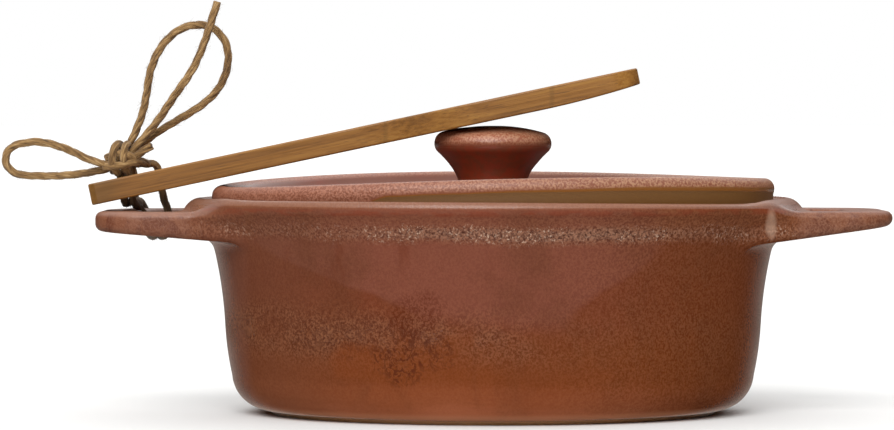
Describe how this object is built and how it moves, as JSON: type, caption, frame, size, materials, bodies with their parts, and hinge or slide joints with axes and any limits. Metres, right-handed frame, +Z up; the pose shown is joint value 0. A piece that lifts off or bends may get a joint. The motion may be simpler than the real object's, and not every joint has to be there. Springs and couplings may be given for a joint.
{
  "type": "covered casserole dish",
  "caption": "Oval stoneware casserole dish with loop handles, a recessed lid with a mushroom knob, and a bamboo spatula tied to one handle with jute twine.",
  "frame": {"origin": "middle of the dish's footprint, on the surface that it stands on", "axes": "+X along the dish towards the handle without the spatula, +Y across it, +Z up"},
  "size_m": [0.3394, 0.174, 0.1576],
  "materials": {
    "reactive_glaze": "glossy red-brown reactive glaze with tan speckle",
    "lid_glaze": "glossy red-brown reactive glaze, bare clay seat",
    "bamboo": "smooth oiled bamboo",
    "jute": "coarse two-ply jute twine"
  },
  "bodies": {
    "dish": {"dish_body": "reactive_glaze", "handle_left": "reactive_glaze", "handle_right": "reactive_glaze"},
    "lid_and_knob": {"lid": "lid_glaze", "lid_knob": "lid_glaze"},
    "spatula_and_bow": {"spatula": "bamboo", "twine_knot": "jute", "twine_loop_left": "jute", "twine_loop_upper": "jute", "twine_long_end": "jute", "twine_short_end": "jute", "twine_lashing_near": "jute", "twine_lashing_far": "jute"}
  },
  "joints": [
    {"name": "lid_lift", "type": "slide", "parent": "dish", "child": "lid_and_knob", "axis": [0, 0, 1], "range_m": [0, 0.05]},
    {"name": "spatula_tilt", "type": "hinge", "parent": "dish", "child": "spatula_and_bow", "pos_m": [-0.1529, 0, 0.0796], "axis": [0, -1, 0], "range_deg": [0, 46.5], "deforming": ["twine_lashing_near", "twine_lashing_far"]}
  ],
  "couplings": [
    {"joint": "spatula_tilt", "follows": "lid_lift", "rad_per_m": 16.2}
  ]
}
